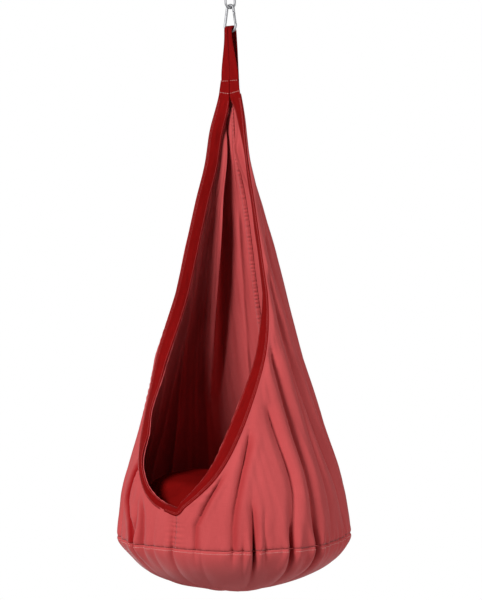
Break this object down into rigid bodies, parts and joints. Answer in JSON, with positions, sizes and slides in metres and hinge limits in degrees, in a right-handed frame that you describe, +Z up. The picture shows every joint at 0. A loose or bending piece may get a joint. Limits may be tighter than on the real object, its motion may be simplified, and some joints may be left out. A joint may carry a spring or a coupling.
{
  "type": "cocoon hammock",
  "caption": "Hanging cocoon hammock: tall gathered cloth pod with a teardrop opening bound in webbing, a padded rounded base, and a webbing loop on a snap hook and swivel.",
  "frame": {"origin": "where the ceiling hook bears on the inside top of the swivel's bow", "axes": "+Z up along the hanging line, -Y towards the opening, +X to the right of someone sitting in it"},
  "size_m": [0.5984, 0.5984, 1.5795],
  "materials": {
    "steel": "zinc-plated, satin",
    "webbing": "woven webbing, dark red",
    "cloth": "plain-weave cotton canvas, coral red",
    "cushion": "plain-weave cotton, deep red",
    "filling": "polyester fibre"
  },
  "bodies": {
    "bow": {"swivel_bow": "steel", "swivel_washer": "steel"},
    "eye": {"swivel_eye": "steel", "swivel_nut": "steel"},
    "carabiner": {"carabiner_body": "steel", "gate_rivet": "steel"},
    "gate": {"carabiner_gate": "steel", "gate_spring": "steel", "gate_plunger": "steel"},
    "pod": {"loop_strap_left": "webbing", "loop_strap_right": "webbing", "edge_band_left": "webbing", "edge_band_right": "webbing", "body_panel_left": "cloth", "body_panel_right": "cloth", "base_panel": "cloth", "pocket_floor": "cloth", "base_filling": "filling", "cushion_cover_top": "cushion", "cushion_cover_bottom": "cushion", "cushion_core": "filling"}
  },
  "joints": [
    {"name": "swivel_spin", "type": "hinge", "parent": "bow", "child": "eye", "pos_m": [0, 0, -0.036], "axis": [0, 0, 1], "continuous": true},
    {"name": "carabiner_swing", "type": "hinge", "parent": "eye", "child": "carabiner", "pos_m": [0, 0, -0.0807], "axis": [0.5, 0.866, 0], "range_deg": [-25, 25]},
    {"name": "pod_swing", "type": "hinge", "parent": "carabiner", "child": "pod", "pos_m": [0, 0, -0.1415], "axis": [1, 0, 0], "range_deg": [-30, 30]},
    {"name": "gate_open", "type": "hinge", "parent": "carabiner", "child": "gate", "pos_m": [0.01092, 0, -0.0945], "axis": [0, 1, 0], "range_deg": [0, 25], "stiffness_Nm_per_rad": 0.01, "springref_deg": -11.46}
  ]
}
